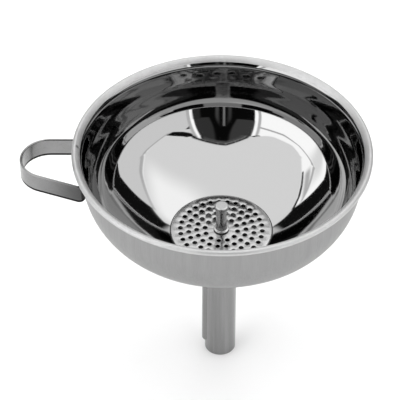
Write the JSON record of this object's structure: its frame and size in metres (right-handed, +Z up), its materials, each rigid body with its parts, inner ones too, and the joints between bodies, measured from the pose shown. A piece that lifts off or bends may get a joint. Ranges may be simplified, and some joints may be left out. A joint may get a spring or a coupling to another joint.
{
  "type": "strainer funnel",
  "caption": "Round metal funnel: rolled rim, dished bowl, flat loop handle, vented spout tube and a loose perforated strainer with a pull knob.",
  "frame": {"origin": "centre of the spout's open end", "axes": "+Z up along the spout's axis, handle towards -X"},
  "size_m": [0.1525, 0.13, 0.122],
  "materials": {
    "bowl_steel": "mirror polished inside, satin outside",
    "spout_steel": "satin, drawn lengthwise",
    "strap_steel": "satin with rounded bright edges",
    "strainer_steel": "satin, punched holes with bright edges",
    "knob_steel": "turned and polished"
  },
  "bodies": {
    "root": {"funnel_bowl": "bowl_steel", "spout_tube": "spout_steel", "handle_strap": "strap_steel", "strainer_disc": "strainer_steel", "strainer_knob": "knob_steel"}
  },
  "joints": []
}
